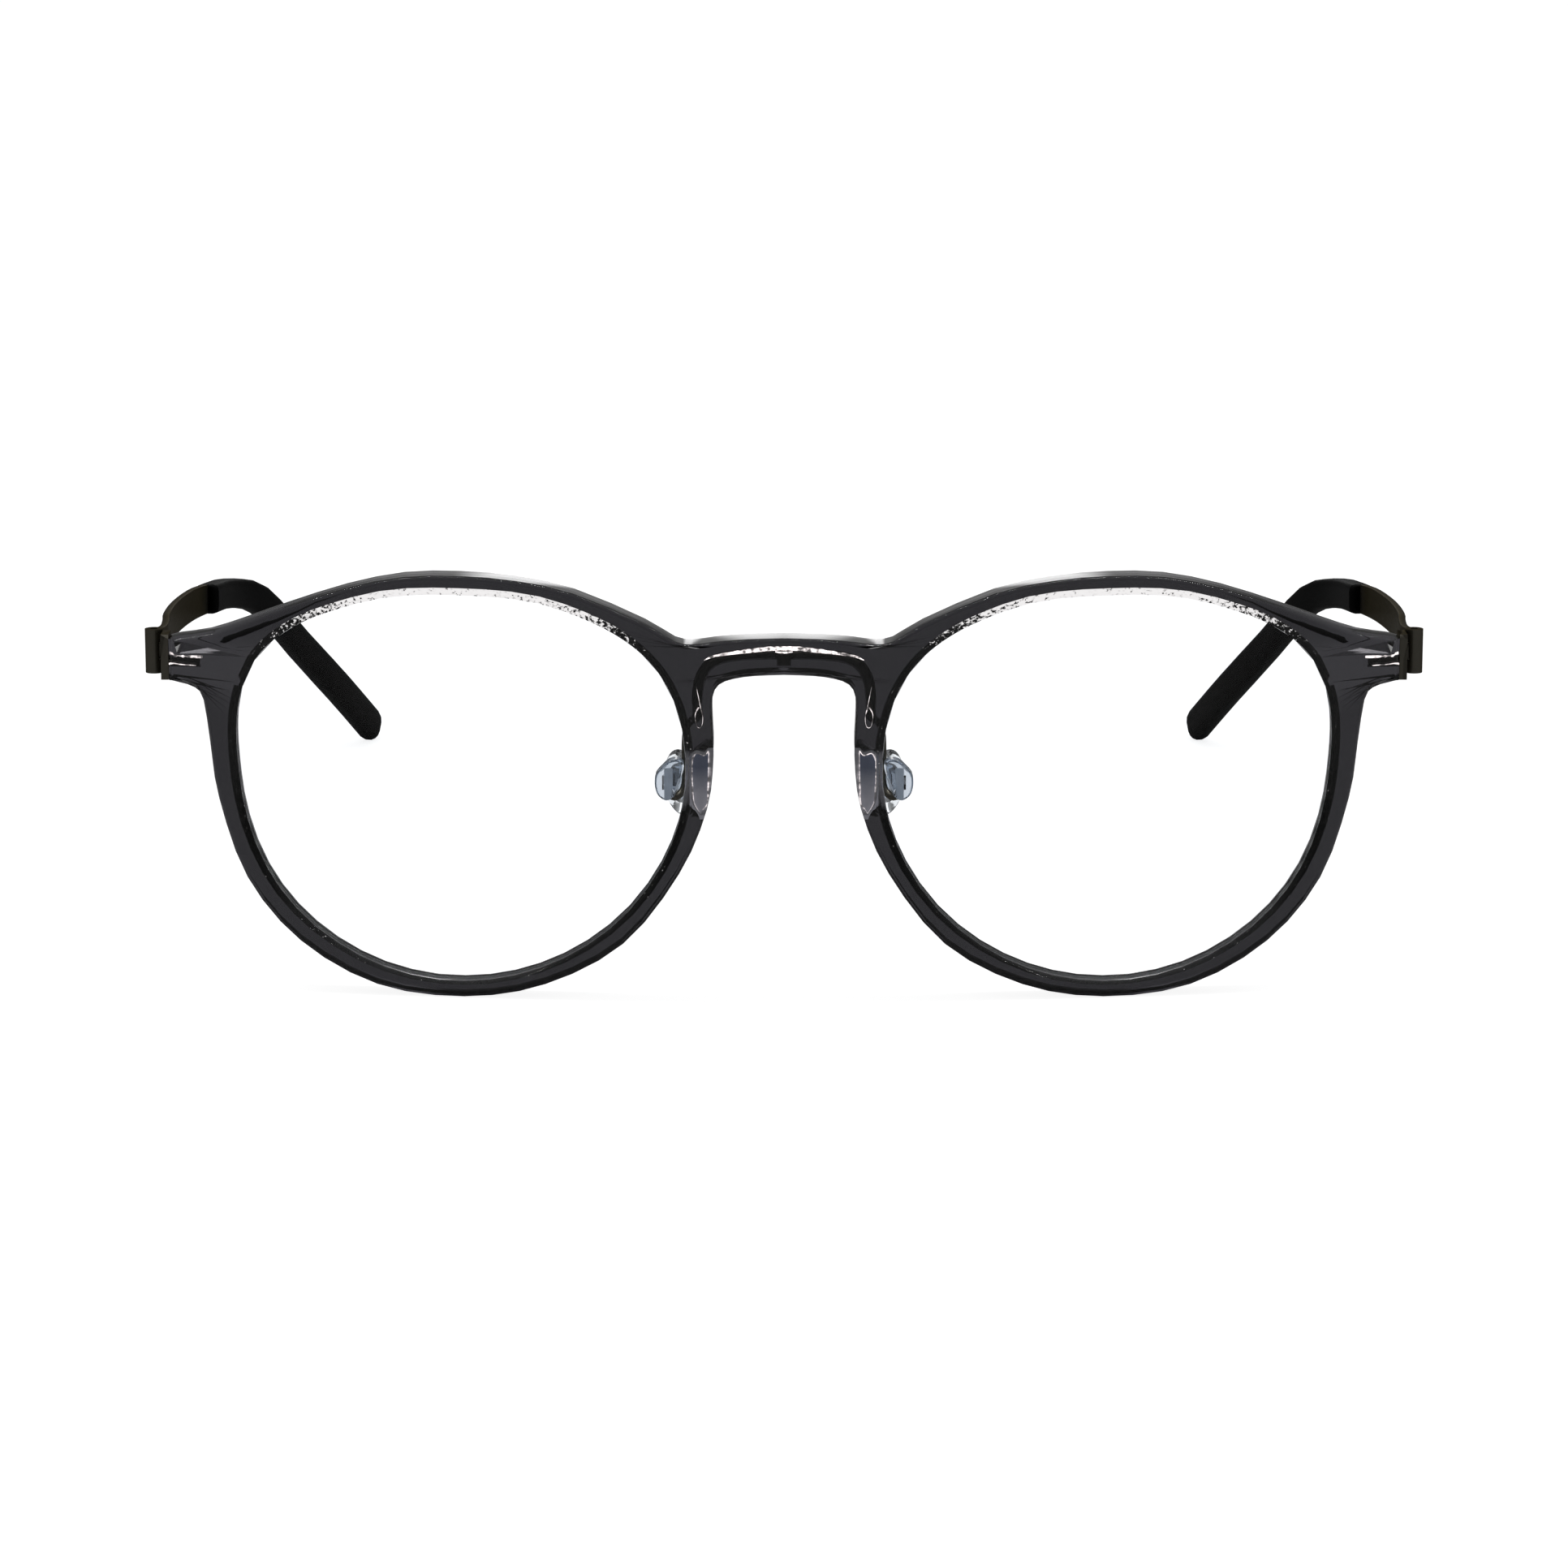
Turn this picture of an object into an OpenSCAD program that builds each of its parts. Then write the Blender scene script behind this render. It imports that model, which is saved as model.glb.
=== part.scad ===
// Round eyeglasses: a moulded plastic front with a titanium core in its bridge,
// titanium temples on barrel hinges, rubber temple sleeves and swivelling nose pads.
// +X is the wearer's left, the lenses face -Y, the temples run back along +Y, +Z is up.
// The glasses stand on the undersides of the rims and of the sleeve tips, at Z = 0.

/* [Lenses] */
// Distance from the middle of the nose to the middle of a lens
lens_x = 35.4; // [34:0.1:38]
// Lens opening, from its middle towards the nose
lens_r_nose = 24.55; // [23.5:0.05:25]
// Lens opening, from its middle up
lens_r_top = 21.1; // [20:0.05:22]
// Lens opening, from its middle outwards
lens_r_side = 24.75; // [23.5:0.05:25.5]
// Lens opening, from its middle down
lens_r_bottom = 22.3; // [21.5:0.05:23]
// Thickness of a lens
lens_t = 1.4; // [1:0.1:1.8]
// How far the lens bevel reaches into its groove
lens_bevel = 0.5; // [0.3:0.05:0.6]

/* [Front] */
// Radius of the front's wrap, seen from above
wrap_r = 330; // [250:10:500]
// Thickness of the front, from face to back
front_t = 4; // [3.6:0.1:4.6]
// Thickness of the front at the hinges
end_t = 3.4; // [3:0.1:3.6]
// Width of the rim above a lens
rim_top = 2.2; // [1.9:0.05:2.8]
// Width of the rim below a lens
rim_bottom = 1.7; // [1.5:0.05:2.4]
// Width of the rim beside a lens
rim_side = 3; // [2.6:0.05:3.6]
// Width of the polished chamfer above each lens, narrower below it
chamfer_w = 0.9; // [0.5:0.05:1.2]
// Depth of that chamfer
chamfer_d = 0.6; // [0.3:0.05:0.8]
// Rounding of the front's outer edges
edge_r = 0.45; // [0.2:0.05:0.6]
// Widest part of the facet along the top of each end piece
facet_w = 1.8; // [1:0.1:2]

/* [Bridge] */
// Height of the bridge's underside above the table
bridge_low = 36.65; // [36.2:0.05:37]
// Height of the bridge in its middle
bridge_h = 4.1; // [3.8:0.05:4.6]
// Half the width of the nose gap under the bridge
nose_half = 7.8; // [7.4:0.1:8.2]
// Height of the titanium core's band
core_h = 1.1; // [0.9:0.05:1.2]
// Depth of the core's band, and diameter of the pad arms
core_d = 0.8; // [0.7:0.05:0.9]
// Width of the key in the middle of the core
key_w = 1.4; // [1:0.1:2]
// Thickness of the front wall over the hollow beside the nose
relief_wall = 1.15; // [0.9:0.05:1.4]
// How far that hollow reaches above the middle of the lens
relief_top = 3.9; // [3:0.1:4.4]
// How far that hollow reaches below the middle of the lens
relief_low = 2.6; // [2:0.1:3]
// Rounding of that hollow's corners
relief_r = 0.7; // [0.4:0.1:1]

/* [Hinges] */
// Distance from the middle of the nose to a hinge pin
pin_x = 69.75; // [69.4:0.05:70.2]
// Distance of a hinge pin behind the bridge's face
pin_y = 10.4; // [10.3:0.05:11]
// Outer diameter of a hinge barrel
barrel_d = 2; // [1.9:0.05:2.2]
// Height of a hinge barrel
barrel_h = 4.9; // [4.6:0.1:5.2]
// Diameter of a hinge pin
pin_d = 0.8; // [0.7:0.05:0.9]
// Thickness of a hinge leaf
leaf_t = 0.85; // [0.6:0.05:0.9]
// How far a leaf hangs below its barrel
leaf_drop = 0.3; // [0.2:0.1:0.6]
// Length of the barbed prong in the end piece
prong_l = 3.6; // [3:0.1:4.2]
// Height of that prong
prong_h = 1.1; // [0.9:0.1:1.4]
// Thickness of a nylon hinge washer
washer_t = 0.15; // [0.1:0.05:0.2]

/* [Temples] */
// Thickness of a temple blade
blade_t = 0.85; // [0.7:0.05:0.9]
// Height of a temple blade past its root
blade_h = 3.8; // [3.4:0.1:3.9]
// Distance from the hinge pin back to the tip
temple_l = 131; // [127:1:135]
// Distance from the hinge pin back to the sleeve
sleeve_start = 77; // [73:1:82]
// Height of the sleeve where it starts
sleeve_h = 3.7; // [3.6:0.1:4.2]
// Height of the sleeve at its tip
tip_h = 4.4; // [4:0.1:4.8]
// Thickness of the sleeve
tip_t = 3; // [2.6:0.1:3.2]

/* [Nose pads] */
// Width of a silicone pad
pad_w = 6.8; // [6:0.1:7.2]
// Height of a silicone pad
pad_h = 7.4; // [6.8:0.1:8.4]
// Thickness of a silicone pad
pad_t = 1.4; // [1.3:0.1:1.8]
// Height of the boss that takes the pad arm
boss_h = 4.7; // [4.4:0.1:5]
// Width of that boss
boss_w = 3.25; // [3:0.05:3.5]
// Angle between a pad's face and straight ahead
pad_turn = 56; // [50:1:60]

/* [Clearances] */
// Gap between parts that are pressed or moulded together
seat_gap = 0.02; // [0.01:0.01:0.04]
// Radial gap of parts that turn on each other
run_gap = 0.04; // [0.02:0.01:0.06]
// Air gap round the titanium that is moulded into the plastic
mould_gap = 0.06; // [0.04:0.01:0.08]

/* [Hidden] */

// Middle of a lens opening above the table
lens_z = lens_r_bottom + rim_bottom;

// Smooth curve between b and c, with a before them and d after
function cubic(a, b, c, d, t) =
    b + t * ((c - a) / 2 + t * (a - 2.5 * b + 2 * c - d / 2 + t * ((d - a) / 2 + 1.5 * (b - c))));
function unit(v) = v / norm(v);
function wrap_y(x) = x * x / (2 * wrap_r);

// Lens opening: radii every 30 degrees from the nose side, over the top
radii = [lens_r_nose, 25.2, 22.6, lens_r_top, 22.98, 26.4,
         lens_r_side, 23.95, 22.95, lens_r_bottom, 22.4, 23.3];
function radius(a) =
    let (s = a / 30 + 24, k = floor(s), t = s - k)
    cubic(radii[(k - 1) % 12], radii[k % 12], radii[(k + 1) % 12], radii[(k + 2) % 12], t);
function rim_point(a, grow = 0) =
    [lens_x - (radius(a) + grow) * cos(a), lens_z + (radius(a) + grow) * sin(a)];
function knot(a, grow, bevel) = concat([a], rim_point(a, grow), [bevel, front_t]);
// Direction from the lens opening into the rim
function outward(a) =
    let (t = unit(rim_point(a + 0.5) - rim_point(a - 0.5))) [-t[1], t[0]];

// Outline of half the front, round the lens opening from the bridge's middle.
// Each knot is the opening's angle there, x, z, the front bevel and the thickness.
top_z = bridge_low + bridge_h;
end_x = pin_x - barrel_d / 2 - leaf_t - 2 * seat_gap;
end_top = 39.35;
end_low = 34.75;
thick = front_t;
knots = [
    [27, 0, bridge_low, edge_r, thick],
    [29, 0, (bridge_low + top_z) / 2, edge_r, thick],
    [31, 0, top_z, edge_r, thick],
    [33, 4, top_z - 0.1, edge_r, thick],
    [36, 7.6, top_z - 0.4, edge_r, thick],
    [40, 9.9, top_z - 0.7, edge_r, thick],
    [45, 11.9, top_z - 0.4, edge_r, thick],
    [51, 15.2, 42.3, edge_r, thick],
    knot(60, rim_top + 0.1, edge_r),
    knot(75, rim_top - 0.1, edge_r),
    knot(90, rim_top, edge_r),
    knot(105, rim_top - 0.05, edge_r),
    knot(120, rim_top - 0.15, edge_r),
    [131, 54.6, 43.4, edge_r + 0.45 * (facet_w - edge_r), thick],
    [139, 59.2, 41.65, edge_r + 0.8 * (facet_w - edge_r), thick],
    [145, 63.2, 40.3, facet_w, (thick + end_t) / 2],
    [148, end_x - 1.3, end_top + 0.4, facet_w, end_t],
    [150, end_x, end_top, facet_w, end_t],
    [157, end_x, end_low, edge_r, end_t],
    [160, end_x - 1.2, end_low - 0.25, edge_r, end_t],
    [163, end_x - 2.9, end_low - 0.75, edge_r, (thick + end_t) / 2],
    [167, rim_point(171)[0] + rim_side + 0.6, end_low - 2.1, edge_r, thick],
    knot(172, rim_side, edge_r),
    knot(185, rim_side - 0.35, edge_r),
    knot(205, rim_side - 0.5, edge_r),
    knot(225, rim_side - 0.65, edge_r),
    knot(247, rim_bottom + 0.4, edge_r),
    knot(270, rim_bottom, edge_r),
    knot(292, rim_bottom + 0.15, edge_r),
    knot(315, rim_bottom + 0.5, edge_r),
    knot(338, rim_side - 0.85, edge_r),
    knot(355, rim_side - 0.3, edge_r),
    [365, nose_half - 0.1, lens_z + 3.5, edge_r, thick],
    [373, nose_half, bridge_low - 5.2, edge_r, thick],
    [380, nose_half, bridge_low - 2.5, edge_r, thick],
    [383.5, nose_half - 0.7, bridge_low - 1.1, edge_r, thick],
    [385, nose_half - 2.3, bridge_low - 0.45, edge_r, thick],
    [386, nose_half - 4.6, bridge_low - 0.12, edge_r, thick],
];
count = len(knots);
// Stations along the outline: corners and the flat middle of the bridge take none between
splits = [for (i = [0:count - 1]) (i < 2 || i == 17) ? 1 : (i > 21 && i < 32) ? 3 : 2];
function at(i) =
    let (k = knots[(i + count) % count], lap = i < 0 ? -360 : i >= count ? 360 : 0)
    [k[0] + lap, k[1], k[2], k[3], k[4]];
// Neighbours for the curve: none is taken across a corner
function before(i) = (i == 2 || i == 17 || i == 18) ? 2 * at(i) - at(i + 1) : at(i - 1);
function after(i) = (i == 16 || i == 17 || i == count - 1) ? 2 * at(i + 1) - at(i) : at(i + 2);
stations = [for (i = [0:count - 1]) for (j = [0:splits[i] - 1])
    cubic(before(i), at(i), at(i + 1), after(i), j / splits[i])];
n_st = len(stations);
function inward(i) =
    let (a = stations[(i + n_st - 1) % n_st], b = stations[(i + 1) % n_st],
         t = unit([b[1] - a[1], b[2] - a[2]]))
    i == 0 ? [0, 1] : i == 1 ? [0, 0] : i == 2 ? [0, -1] : [t[1], -t[0]];

// Depth of the lens groove behind the front's face, which follows the lens's own curve
groove_d = lens_bevel + 0.1;
groove_w = lens_t + 2 * seat_gap;
function lens_mid(x, z) = wrap_y(x) + (z - lens_z) * (z - lens_z) / (2 * wrap_r) + 1.4;

// Section of the front at a station: from the face round the opening to the back,
// then round the outside to the face again
function section(i) =
    let (s = stations[i], a = rim_point(s[0]), b = [s[1], s[2]], e = outward(s[0]),
         n = inward(i), bev = s[3], t = s[4], g = lens_mid(a[0], a[1]) - wrap_y(a[0]),
         back = max(t, g + groove_w / 2 + 0.5),
         inner = [[chamfer_w * (1 + 0.7 * min(sin(s[0]), 0)), 0], [0, chamfer_d], [0, g - groove_w / 2],
                  [groove_d, g], [0, g + groove_w / 2], [0, back - 0.35], [0.35, back]],
         outer = [[edge_r, t], [0.3 * edge_r, t - 0.3 * edge_r], [0, t - edge_r],
                  [0, edge_r + 0.1 * bev], [0.3 * bev, 0.3 * edge_r], [bev, 0]])
    concat([for (p = inner) let (q = a + e * p[0]) [q[0], wrap_y(q[0]) + p[1], q[1]]],
           [for (p = outer) let (q = b + n * p[0]) [q[0], wrap_y(q[0]) + p[1], q[1]]]);

// Both halves of the front as one closed skin: each half is a ring of sections round its
// lens opening, and the two share the corners of the cut in the bridge's middle
module halves(sections) {
    n = len(sections);
    m = len(sections[0]);
    cut = m - 6;
    function corner(half, i, j) = (i <= 2 && j >= cut ? 0 : half * n * m) + i * m + j;
    polyhedron(
        points = [for (half = [0, 1]) for (s = sections) for (p = s)
            [half == 0 ? p[0] : -p[0], p[1], p[2]]],
        faces = [for (half = [0, 1]) for (i = [0:n - 1]) for (j = [0:m - 1])
            if (i > 1 || j < cut || j == m - 1)
                let (next = (i + 1) % n, a = corner(half, i, j), b = corner(half, i, (j + 1) % m),
                     c = corner(half, next, (j + 1) % m), d = corner(half, next, j))
                each half == 0 ? [[a, c, b], [a, d, c]] : [[a, b, c], [a, c, d]]],
        convexity = 10);
}

// Open loft of equal sections with flat ends
module loft(sections) {
    n = len(sections);
    m = len(sections[0]);
    polyhedron(
        points = [for (s = sections) each s],
        faces = concat(
            [for (i = [0:n - 2]) for (j = [0:m - 1])
                let (a = i * m + j, b = i * m + (j + 1) % m, c = b + m, d = a + m)
                each [[a, b, c], [a, c, d]]],
            [[for (j = [m - 1:-1:0]) j], [for (j = [0:m - 1]) (n - 1) * m + j]]),
        convexity = 10);
}

// Smooth points along an open row of points
function curve(p, steps) = concat(
    [for (i = [0:len(p) - 2]) for (j = [0:steps - 1])
        cubic(p[max(i - 1, 0)], p[i], p[i + 1], p[min(i + 2, len(p) - 1)], j / steps)],
    [p[len(p) - 1]]);
function heading(p, i) = unit(p[min(i + 1, len(p) - 1)] - p[max(i - 1, 0)]);

// Half the bridge core, from the middle of the bridge down and back into a pad arm
arm_at = [12.75, 6.2];
cap_z = 23.9;
wire_top = cap_z + boss_h / 2 - 1.3;
core_y = 2;
core_half = [
    [0, core_y, bridge_low + 2.2], [2.8, core_y, bridge_low + 2.17],
    [5.7, core_y, bridge_low + 1.95], [7.8, core_y + 0.1, bridge_low + 1.3],
    [9, core_y + 0.1, bridge_low - 0.2], [9.4, core_y + 0.15, bridge_low - 2],
    [9.45, core_y + 0.2, bridge_low - 3.8], [9.5, core_y + 1, bridge_low - 4.9],
    [9.8, 5, bridge_low - 5.5], [10.5, 6.4, bridge_low - 6.5],
    [10.85, 7.3, bridge_low - 8.3], [10.9, 7.8, bridge_low - 10.5],
    [10.9, 7.9, bridge_low - 12.3], [10.95, 7.9, cap_z - 0.8], [11.25, 7.6, cap_z - 1.7],
    [11.85, 7, cap_z - 2.15], [12.45, 6.45, cap_z - 2.05], concat(arm_at, cap_z - 1.5),
    concat(arm_at, cap_z - 0.7), concat(arm_at, wire_top)];
core_curve = curve(core_half, 2);
// Width of the core across its path: a band in the bridge, a round wire in the arms
function core_width(i) = i < 12 ? core_h : i < 15 ? (core_h + core_d) / 2 : core_d;
function core_section(i, grow) =
    let (p = core_curve[i], t = i == 0 ? [1, 0, 0] : heading(core_curve, i),
         r = i < 12 ? cross([0, 1, 0], t) : [-1, max((12 - i) / 14, -1), 0],
         u = unit(r - (r * t) * t), v = cross(t, u))
    [for (k = [0:7]) let (c = cos(45 * k + 22.5) / cos(22.5), s = sin(45 * k + 22.5) / cos(22.5))
        p + u * c * (core_width(i) / 2 + grow) - v * s * (core_d / 2 + grow)];
function flipped(section) = [for (p = section) [-p[0], p[1], p[2]]];
// The two halves run on through the middle: the mirrored one comes first, from its end
module core_sweep(grow, last) {
    loft(concat([for (i = [last:-1:1]) flipped(core_section(i, grow))],
                [for (i = [0:last]) core_section(i, grow)]));
}

// Front: both halves joined in the bridge, with the metal's places left open
module front() {
    color("#2b2b2e") place() difference() {
        halves([for (i = [0:n_st - 1]) section(i)]);
        core_sweep(mould_gap, 20);
        translate([-key_w / 2 - mould_gap, core_y - core_d / 2 - mould_gap, bridge_low + 0.9])
            cube([key_w + 2 * mould_gap, core_d + 2 * mould_gap, 1.3]);
        for (side = [0, 1]) mirror([side, 0, 0]) {
            prong(mould_gap);
            pad_relief();
        }
    }
}

// Hollow milled in the back of the rim beside the nose, which leaves a thin front wall.
// It is open towards the nose, where its two ends run out to points.
module pad_relief() {
    left = rim_point(0)[0] - 0.65;
    low = lens_z - relief_low;
    top = lens_z + relief_top;
    step = (top - low - 2 * relief_r) / 4;
    translate([0, wrap_y(left) + relief_wall + front_t, 0]) rotate([90, 0, 0]) {
        for (i = [0:3]) hull() for (x = [left - 3, left - relief_r], k = [0, 1])
            translate([x, low + relief_r + (i + k) * step])
                cylinder(r = relief_r, h = front_t, $fn = 24);
        linear_extrude(front_t) polygon([
            [left - 3, top + 0.5], [left - 2.25, top + 0.5], [left - 2.1, top + 0.15],
            [left - 1.6, top - 0.2], [left - 0.2, low + 0.4], [left - 0.7, low - 0.3],
            [left - 0.9, low - 0.7], [left - 0.98, low - 1.15], [left - 3, low - 1.15]]);
    }
}

// Bridge core with the two pad arms, in one piece
module bridge_core() {
    color("#3a3936") place() {
        core_sweep(0, len(core_curve) - 1);
        translate([-key_w / 2, core_y - core_d / 2, bridge_low + 0.95]) cube([key_w, core_d, 1]);
    }
}

// Lens with a bevelled edge
rings = [0.25, 0.5, 0.75, 1];
lens_n = 48;
function lens_ring(share, dy, grow) = [for (k = [0:lens_n - 1])
    let (a = 360 * k / lens_n, r = (radius(a) + grow) * share,
         x = lens_x - r * cos(a), z = lens_z + r * sin(a))
    [x, lens_mid(x, z) + dy, z]];
module lens() {
    half = lens_t / 2;
    layers = concat([for (s = rings) lens_ring(s, -half, -seat_gap)],
                    [lens_ring(1, 0, lens_bevel)],
                    [for (i = [3:-1:0]) lens_ring(rings[i], half, -seat_gap)]);
    n = lens_n;
    last = len(layers) * n;
    polyhedron(
        points = concat([for (l = layers) each l],
            [[lens_x, lens_mid(lens_x, lens_z) - half, lens_z],
             [lens_x, lens_mid(lens_x, lens_z) + half, lens_z]]),
        faces = concat(
            [for (i = [0:len(layers) - 2]) for (k = [0:n - 1])
                let (a = i * n + k, b = i * n + (k + 1) % n)
                each [[a, b + n, b], [a, a + n, b + n]]],
            [for (k = [0:n - 1]) [k, (k + 1) % n, last]],
            [for (k = [0:n - 1]) [last - n + (k + 1) % n, last - n + k, last + 1]]),
        convexity = 4);
}

// Hinge sizes that follow from the others
barrel_low = end_low + 0.3;
barrel_top = barrel_low + barrel_h;
barrel_r = barrel_d / 2;
knuckle_r = 0.7 * barrel_r;
knuckle_h = 0.42 * barrel_h;
knuckle_low = barrel_low + (barrel_h - knuckle_h) / 2;
gap_h = washer_t + 2 * seat_gap;
leaf_x = end_x + seat_gap;
leaf_top = barrel_top - 0.2;
tongue_back = 0.1;
tongue_t = 0.5;
leaf_front = wrap_y(end_x) + edge_r;
prong_z = (end_low + end_top) / 2 - 0.25;
prong_y = wrap_y(end_x) + end_t / 2;
prong_t = 0.9;
// The blade lies outside the pin's middle plane, so it folds past the leaf
root_x = pin_x + 0.15 + blade_t / 2;

// Barbed prong of a leaf, and the pocket that is moulded round it
module prong(grow) {
    translate([leaf_x + grow, prong_y, prong_z]) rotate([90, 0, 0])
        translate([0, 0, -prong_t / 2 - grow])
            linear_extrude(prong_t + 2 * grow) polygon(prong_outline(grow));
}
barb_pitch = prong_l / 5;
function prong_outline(grow) = concat(
    [[0.3 * sign(grow), -prong_h / 2 - grow], [0.3 * sign(grow), prong_h / 2 - 0.25 + grow]],
    [for (i = [0:3]) each [[-barb_pitch * (i + 0.35), prong_h / 2 - 0.25 + grow],
                           [-barb_pitch * (i + 0.65), prong_h / 2 + grow],
                           [-barb_pitch * (i + 1), prong_h / 2 - 0.25 + grow]]],
    [[-prong_l - 2 * grow, prong_h / 2 - 0.25 + grow], [-prong_l - 2 * grow, -prong_h / 2 - grow]]);

// Front leaf of a hinge: a plate on the end face, a prong, and the middle knuckle
module hinge_leaf() {
    color("#35322c") place() difference() {
        union() {
            prong(0);
            intersection() {
                translate([leaf_x, leaf_front, barrel_low - leaf_drop])
                    cube([leaf_t, pin_y + tongue_back - leaf_front,
                          leaf_top + leaf_drop - barrel_low]);
                translate([0, leaf_front, leaf_top]) rotate([0, 90, 0])
                    linear_extrude(2 * pin_x) polygon([
                        [-1, 0.9], [0, 0.35], [0.45, 0], [20, 0], [20, 20], [-1, 20]]);
            }
            translate([leaf_x + leaf_t / 2, pin_y + tongue_back - tongue_t, knuckle_low + gap_h])
                cube([pin_x - leaf_x - leaf_t / 2, tongue_t, knuckle_h - 2 * gap_h]);
            translate([pin_x, pin_y, knuckle_low + gap_h])
                cylinder(r = knuckle_r, h = knuckle_h - 2 * gap_h, $fn = 40);
        }
        translate([pin_x, pin_y, knuckle_low])
            cylinder(r = pin_d / 2 + run_gap, h = knuckle_h, $fn = 32);
    }
}

// Hinge pin, a little short of the barrel's ends
module hinge_pin() {
    color("#24221f") place() translate([pin_x, pin_y, barrel_low + 0.12])
        cylinder(r = pin_d / 2, h = barrel_h - 0.24, $fn = 32);
}

// Nylon washers above and below the middle knuckle
module hinge_washers() {
    color("#d8d4c8") place()
        for (z = [knuckle_low + seat_gap, knuckle_low + knuckle_h - gap_h + seat_gap])
            translate([pin_x, pin_y, z]) difference() {
                cylinder(r = knuckle_r, h = washer_t, $fn = 40);
                translate([0, 0, -1]) cylinder(r = pin_d / 2 + seat_gap, h = 3, $fn = 32);
            }
}

// Middle line of a temple, from the hinge to the tip
root_z = (barrel_low + barrel_top) / 2;
// The rounded end leans forward, so its middle lies just under half its height
tip_z = tip_h / 2 - 0.03;
function back(share) = pin_y + share * temple_l;
path = [
    [root_x, pin_y, root_z], [root_x - 0.25, back(0.046), root_z - 1],
    [root_x - 0.3, back(0.092), root_z - 1.55], [root_x + 0.22, back(0.145), root_z - 1.95],
    [root_x + 0.8, back(0.191), root_z - 2.3], [root_x + 2.15, back(0.344), root_z - 4.7],
    [root_x + 2.45, back(0.489), root_z - 6.8], [root_x + 2.05, back(0.592), root_z - 8.45],
    [root_x + 0.6, back(0.687), root_z - 9.95], [root_x - 2.6, back(0.756), root_z - 12.5],
    [63.7, back(0.84), 17.2], [59.4, back(0.92), 9.3], [56.1, back(1), tip_z]];
steps = 3;
line = curve(path, steps);
blade_end = len(line) - 4;
function ease(t) = let (c = min(max(t, 0), 1)) c * c * (3 - 2 * c);
function side(i) = let (t = heading(line, i)) unit(cross(t, [0, 0, 1]));
function up(i) = cross(side(i), heading(line, i));
function blade_height(i, inside) =
    let (y = line[i][1] - pin_y, root = barrel_h + (blade_h - barrel_h) * ease(y / 22))
    root - (inside ? 0.7 : 0) - 0.9 * ease((y - sleeve_start) / 40 + 0.25);
function slab(p, u, v, t, h, c) = [for (q = [
        [t, h - c], [t - c, h], [c - t, h], [-t, h - c],
        [-t, c - h], [c - t, -h], [t - c, -h], [t, c - h]]) p + u * q[0] + v * q[1]];
function blade_section(i, grow, ahead = 0, inside = true) =
    slab(line[i] + heading(line, i) * (i == blade_end ? grow : ahead), side(i),
         i == 0 ? [0, 0, 1] : up(i), blade_t / 2 + grow, blade_height(i, inside) / 2 + grow, 0.12);
// The same section with a point added in the middle of each side
function doubled(section) = [for (k = [0:len(section) - 1])
    each [section[k], (section[k] + section[(k + 1) % len(section)]) / 2]];

// Temple blade: a flat titanium strip with the hinge's outer knuckles at its root.
// The wall between the knuckles covers the leaf's knuckle from the front and the side.
// A shoulder in front of the sleeve's mouth makes the two flush.
module temple_blade() {
    color("#4a4843") place() difference() {
        union() {
            loft(concat(
                [for (i = [0:first_sleeve - 1]) blade_section(i, 0, 0, false)],
                [for (inside = [false, true]) blade_section(first_sleeve, 0, -seat_gap, inside)],
                [for (i = [first_sleeve + 1:blade_end]) blade_section(i, 0)]));
            translate([pin_x, pin_y, barrel_low]) cylinder(r = barrel_r, h = barrel_h, $fn = 48);
        }
        translate([pin_x, pin_y, barrel_low - 1])
            cylinder(r = pin_d / 2 + seat_gap / 2, h = barrel_h + 2, $fn = 32);
        translate([pin_x, pin_y, knuckle_low])
            cylinder(r = knuckle_r + run_gap, h = knuckle_h, $fn = 40);
        translate([pin_x, pin_y, knuckle_low]) rotate([0, 0, 80]) rotate_extrude(angle = 155, $fn = 48)
            square([barrel_r + 0.6, knuckle_h]);
        translate([pin_x - barrel_r - 1, pin_y, knuckle_low])
            cube([barrel_r + 1 + 0.3, barrel_r + 0.4, knuckle_h]);
    }
}

// Rubber sleeve over the back of a blade, rounded at the tip
first_sleeve = [for (i = [0:len(line) - 1]) if (line[i][1] - pin_y >= sleeve_start) i][0];
sleeve_n = len(line) - 1;
function sleeve_size(i) =
    let (s = ease((i - first_sleeve) / (sleeve_n - first_sleeve)))
    [tip_t, sleeve_h + (tip_h - sleeve_h) * s] / 2;
// The sleeve's section is nearly a rectangle at its mouth and rounds towards the tip.
// At the mouth it is thicker on the inside of the blade.
function oval(i, ahead, w, h) = [for (k = [0:15])
    let (a = 22.5 * k + 11.25, c = cos(a), s = sin(a), share = ease((i - first_sleeve) / 8),
         q = 1 / (2.2 - 0.9 * share))
    line[i] + heading(line, i) * ahead + side(i) * (w * sign(c) * pow(abs(c), q) - 0.3 * (1 - share))
        + up(i) * h * sign(s) * pow(abs(s), q)];
mouth_r = 0.2;
tip_round = [0.35, 0.65, 0.86, 0.96];
sleeve_sections = concat(
    [let (z = sleeve_size(first_sleeve)) oval(first_sleeve, 0, z[0] - mouth_r, z[1] - mouth_r)],
    [for (i = [first_sleeve:sleeve_n]) let (z = sleeve_size(i))
        oval(i, i == first_sleeve ? mouth_r : 0, z[0], z[1])],
    [for (r = tip_round) let (z = sleeve_size(sleeve_n))
        oval(sleeve_n, r * z[1], z[0] * sqrt(1 - r * r), z[1] * sqrt(1 - r * r))]);
// The skin runs from the socket's blind end out to its mouth, and back over the outside
module temple_sleeve() {
    color("#17181a") place()
        loft(concat([for (i = [blade_end:-1:first_sleeve]) doubled(blade_section(i, seat_gap))],
                    sleeve_sections));
}

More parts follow.
